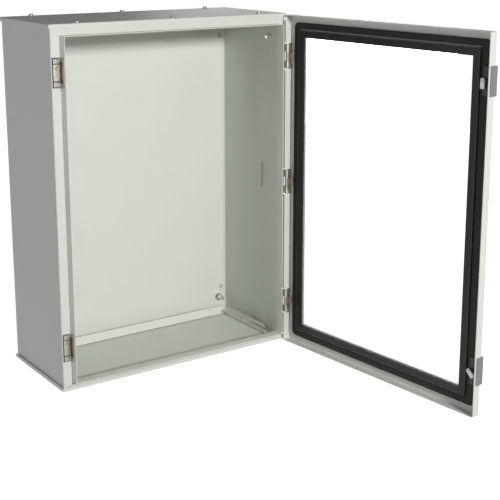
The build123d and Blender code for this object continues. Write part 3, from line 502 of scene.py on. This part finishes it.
def hinge_side_lip():
    """Return lip on the body's hinge side, broken at the hinges."""
    wall_low, wall_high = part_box("right_wall")
    x1 = wall_high.x - LIP_INSET
    tip = wall_low.y - LIP_REACH
    outline = rounded(x1 - LIP_SHEET, x1, tip, wall_low.y + LIP_ROOT, LIP_SHEET / 2 - FIT)
    ends = [wall_low.z + 2 * LIP_REACH]
    for name in HINGES:
        leaf_low, leaf_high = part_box(name + "_body_leaf")
        ends += [leaf_low.z - HINGE_ROOM, leaf_high.z + HINGE_ROOM]
    ends.append(wall_high.z - 2 * LIP_REACH)
    for number, (z0, z1) in enumerate(zip(ends[0::2], ends[1::2])):
        name = f"hinge_side_lip_{number}"
        mesh = stamped(name, [outline], z1 - z0, LIP_SHEET / 6)
        piece(name, mesh, Matrix.Translation((0.0, 0.0, z0)), "cabinet", "body_paint")


def wall_hole_plugs():
    """Plastic plugs that close the wall holes until the enclosure is hung."""
    wall = frame["nodes"]["back_wall"]
    points = [wall.matrix_world @ vertex.co for vertex in wall.data.vertices]
    light = moulded_plastic("light_plastic", LIGHT_PLASTIC)
    for name, right, up in (("lower_left", -1, -1), ("lower_right", 1, -1), ("upper_left", -1, 1),
                            ("upper_right", 1, 1)):
        x = right * WALL_HOLES["spacing_x_mm"] / 2000
        z = up * WALL_HOLES["spacing_y_mm"] / 2000
        ring = [point.y for point in points if hypot(point.x - x, point.z - z) < PLUG_HEAD_R]
        depth = FIT + min(ring) - max(ring)
        profile = [(0.0, PLUG_RISE * 0.6), (PLUG_HEAD_R * 0.5, PLUG_RISE * 0.7),
                   (PLUG_HEAD_R * 0.7, PLUG_RISE), (PLUG_HEAD_R * 0.93, PLUG_RISE * 0.8),
                   (PLUG_HEAD_R, 0.0), (PLUG_BODY_R, 0.0), (PLUG_BODY_R, depth), (0.0, depth)]
        mesh = turned(f"wall_hole_plug_{name}", profile)
        place = facing_front((x, min(ring), z))
        piece(f"wall_hole_plug_{name}", mesh, place, "cabinet", "grey_plastic", light)


def window_channel():
    """Grey edge strip round the window's frame, its grey a painted highlight line along the gasket."""
    low, high = shut_box("window_retainer")
    outer = rounded(low.x - CHANNEL_WIDTH, high.x + CHANNEL_WIDTH, low.z - CHANNEL_WIDTH,
                    high.z + CHANNEL_WIDTH, CHANNEL_WIDTH)
    inner = rounded(low.x - CHANNEL_GAP, high.x + CHANNEL_GAP, low.z - CHANNEL_GAP, high.z + CHANNEL_GAP,
                    CHANNEL_GAP)
    height = high.y - low.y
    behind = Matrix(((1, 0, 0, 0), (0, 0, 1, 0), (0, -1, 0, 0), (0, 0, 0, 1)))
    flipped = [[(u, -v) for u, v in loop] for loop in (outer, inner)]
    mesh = stamped("window_channel", flipped, height, CHANNEL_WIDTH / 5)
    piece("window_channel", mesh, OPENED @ Matrix.Translation((0.0, low.y, 0.0)) @ behind, "door",
          "black_frame", moulded_plastic("grey_edge_highlight", EDGE_HIGHLIGHT_GREY))


def highest(tree, values):
    """The highest of several values."""
    top = values[0]
    for value in values[1:]:
        either = tree.nodes.new("ShaderNodeMath")
        either.operation = "MAXIMUM"
        tree.links.new(top, either.inputs[0])
        tree.links.new(value, either.inputs[1])
        top = either.outputs["Value"]
    return top


def seen_directly(tree):
    """1 for rays from the camera, a mirror or through glass, and 0 for light."""
    path = tree.nodes.new("ShaderNodeLightPath").outputs
    return highest(tree, [path["Is Camera Ray"], path["Is Glossy Ray"], path["Is Transmission Ray"]])


def studio_walls(tree):
    """1 for the camera and through glass; for gloss, 1 at the horizon and dim at the ceiling."""
    path = tree.nodes.new("ShaderNodeLightPath").outputs
    direction = tree.nodes.new("ShaderNodeSeparateXYZ")
    tree.links.new(tree.nodes.new("ShaderNodeTexCoord").outputs["Generated"], direction.inputs["Vector"])
    ceiling = tree.nodes.new("ShaderNodeMapRange")
    ceiling.interpolation_type = "SMOOTHSTEP"
    ceiling.inputs["From Min"].default_value = CEILING_START
    ceiling.inputs["From Max"].default_value = CEILING_END
    ceiling.inputs["To Min"].default_value = 1.0
    ceiling.inputs["To Max"].default_value = CEILING_LIGHT
    tree.links.new(direction.outputs["Z"], ceiling.inputs["Value"])
    return highest(tree, [path["Is Camera Ray"], path["Is Transmission Ray"], ceiling.outputs["Result"]])


def white_world():
    """White where it is seen, and a low even light where it falls on surfaces."""
    world = bpy.data.worlds.new("studio")
    bpy.context.scene.world = world
    world.use_nodes = True
    tree = world.node_tree
    background = tree.nodes["Background"]
    background.inputs["Color"].default_value = (*WORLD_COLOR, 1.0)
    strength = tree.nodes.new("ShaderNodeMapRange")
    strength.inputs["To Min"].default_value = WORLD_LIGHT
    tree.links.new(studio_walls(tree), strength.inputs["To Max"])
    tree.links.new(seen_directly(tree), strength.inputs["Value"])
    tree.links.new(strength.outputs["Result"], background.inputs["Strength"])


def white_floor():
    """Floor under the enclosure: white where it is seen, but it keeps the shadow."""
    bpy.ops.mesh.primitive_plane_add(size=FLOOR_SIZE, location=(0.0, 0.0, cad_box[0][2] - FLOOR_GAP))
    floor = bpy.context.object
    floor.name = "floor"
    material = bpy.data.materials.new("white_floor")
    material.use_nodes = True
    tree = material.node_tree
    shader = tree.nodes["Principled BSDF"]
    shader.inputs["Base Color"].default_value = (FLOOR_ALBEDO, FLOOR_ALBEDO, FLOOR_ALBEDO, 1.0)
    shader.inputs["Roughness"].default_value = 0.9
    shader.inputs["Specular IOR Level"].default_value = 0.0
    shader.inputs["Emission Color"].default_value = (1.0, 1.0, 1.0, 1.0)
    away = tree.nodes.new("ShaderNodeVectorMath")
    away.operation = "LENGTH"
    tree.links.new(tree.nodes.new("ShaderNodeTexCoord").outputs["Object"], away.inputs[0])
    whiter = tree.nodes.new("ShaderNodeMapRange")
    whiter.inputs["From Min"].default_value = GLOW_START
    whiter.inputs["From Max"].default_value = GLOW_END
    whiter.inputs["To Min"].default_value = FLOOR_GLOW
    whiter.inputs["To Max"].default_value = 1.0
    tree.links.new(away.outputs["Value"], whiter.inputs["Value"])
    glow = tree.nodes.new("ShaderNodeMath")
    glow.operation = "MULTIPLY"
    tree.links.new(seen_directly(tree), glow.inputs[0])
    tree.links.new(whiter.outputs["Result"], glow.inputs[1])
    tree.links.new(glow.outputs["Value"], shader.inputs["Emission Strength"])
    floor.data.materials.append(material)


def soft_light(name, place, size, power, color=(1.0, 1.0, 1.0)):
    """Square softbox that faces the middle of the part."""
    data = bpy.data.lights.new(name, "AREA")
    data.shape = "SQUARE"
    data.size = size
    data.energy = power
    data.color = color
    light = bpy.data.objects.new(name, data)
    middle = (Vector(cad_box[0]) + Vector(cad_box[1])) / 2
    light.location = place
    light.rotation_euler = (middle - Vector(place)).to_track_quat("-Z", "Y").to_euler()
    bpy.context.scene.collection.objects.link(light)


def camera():
    """The scene's camera."""
    data = bpy.data.cameras.new("camera")
    data.lens = CAMERA_LENS
    data.shift_y = CAMERA_SHIFT_Y
    view = bpy.data.objects.new("camera", data)
    view.location = CAMERA_PLACE
    view.rotation_euler = (radians(90.0 + CAMERA_PITCH), 0.0, radians(-CAMERA_YAW))
    bpy.context.scene.collection.objects.link(view)
    bpy.context.scene.camera = view


finishes = make_finishes()
dress_frame()
for keeper in KEEPERS:
    keeper_shade_comb_and_caps(keeper)
for hinge in HINGES:
    hinge_guard(hinge)
hinge_side_lip()
wall_hole_plugs()
window_channel()
white_world()
white_floor()
soft_light("key", KEY_PLACE, KEY_SIZE, KEY_POWER)
soft_light("side", SIDE_PLACE, SIDE_SIZE, SIDE_POWER, SIDE_COLOR)
soft_light("rear", REAR_PLACE, REAR_SIZE, REAR_POWER)
camera()
bpy.context.scene.view_settings.view_transform = "Standard"
